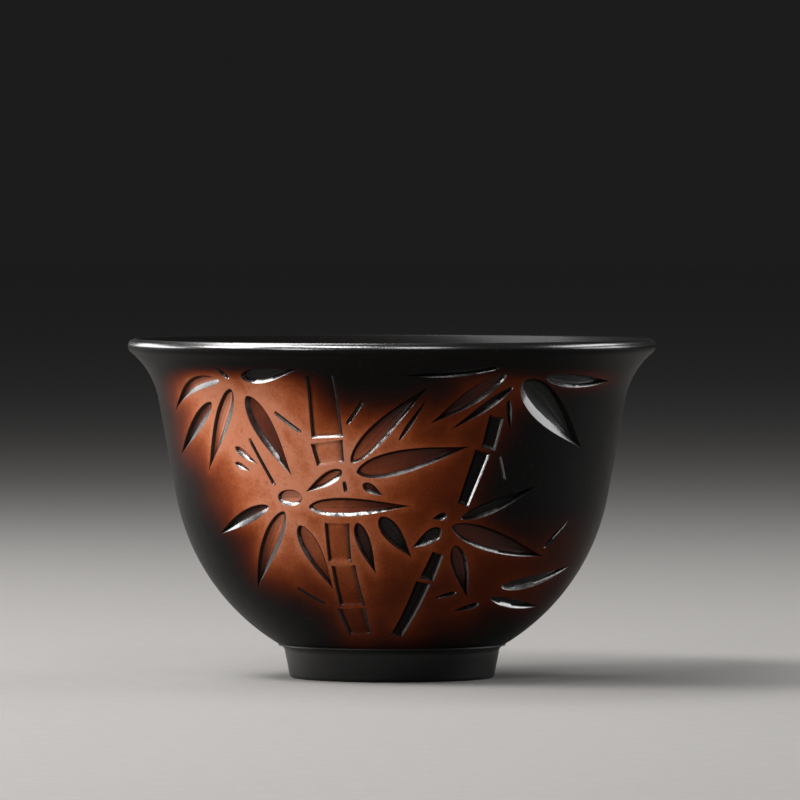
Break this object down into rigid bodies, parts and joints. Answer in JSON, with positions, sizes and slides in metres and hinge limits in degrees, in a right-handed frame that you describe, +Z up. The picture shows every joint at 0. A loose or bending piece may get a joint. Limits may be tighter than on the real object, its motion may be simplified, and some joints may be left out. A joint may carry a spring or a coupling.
{
  "type": "teacup",
  "caption": "Small handleless tea cup of dark unglazed stoneware with a flared lip and a foot ring, and bamboo carved into a rubbed red patch on its front.",
  "frame": {"origin": "centre of the foot ring's standing face", "axes": "+Z up along the cup's axis, and the carved front faces -Y"},
  "size_m": [0.072, 0.072, 0.0462],
  "materials": {
    "dark_stoneware": "satin",
    "foot_stoneware": "satin",
    "dark_slip": "matte"
  },
  "bodies": {
    "root": {"bowl": "dark_stoneware", "foot_ring": "foot_stoneware", "lower_left_bud": "dark_slip", "upper_left_leaf_1": "dark_slip", "upper_left_leaf_2": "dark_slip", "upper_left_leaf_3": "dark_slip", "upper_left_leaf_4": "dark_slip", "upper_left_leaf_5": "dark_slip", "upper_left_leaf_6": "dark_slip", "upper_left_leaf_7": "dark_slip", "upper_left_leaf_8": "dark_slip", "lower_left_leaf_1": "dark_slip", "lower_left_leaf_2": "dark_slip", "lower_left_leaf_3": "dark_slip", "lower_left_leaf_4": "dark_slip", "centre_leaf_1": "dark_slip", "centre_leaf_2": "dark_slip", "centre_leaf_3": "dark_slip", "centre_leaf_4": "dark_slip", "centre_leaf_5": "dark_slip", "centre_leaf_6": "dark_slip", "centre_leaf_7": "dark_slip", "right_leaf_1": "dark_slip", "right_leaf_2": "dark_slip", "right_leaf_3": "dark_slip", "right_leaf_4": "dark_slip", "right_leaf_5": "dark_slip", "right_leaf_6": "dark_slip", "upper_right_leaf_1": "dark_slip", "upper_right_leaf_2": "dark_slip", "upper_right_leaf_3": "dark_slip", "upper_right_leaf_4": "dark_slip", "upper_right_leaf_5": "dark_slip", "upper_right_leaf_6": "dark_slip", "lower_right_leaf_1": "dark_slip", "lower_right_leaf_2": "dark_slip", "lower_right_leaf_3": "dark_slip", "lower_right_leaf_4": "dark_slip"}
  },
  "joints": []
}
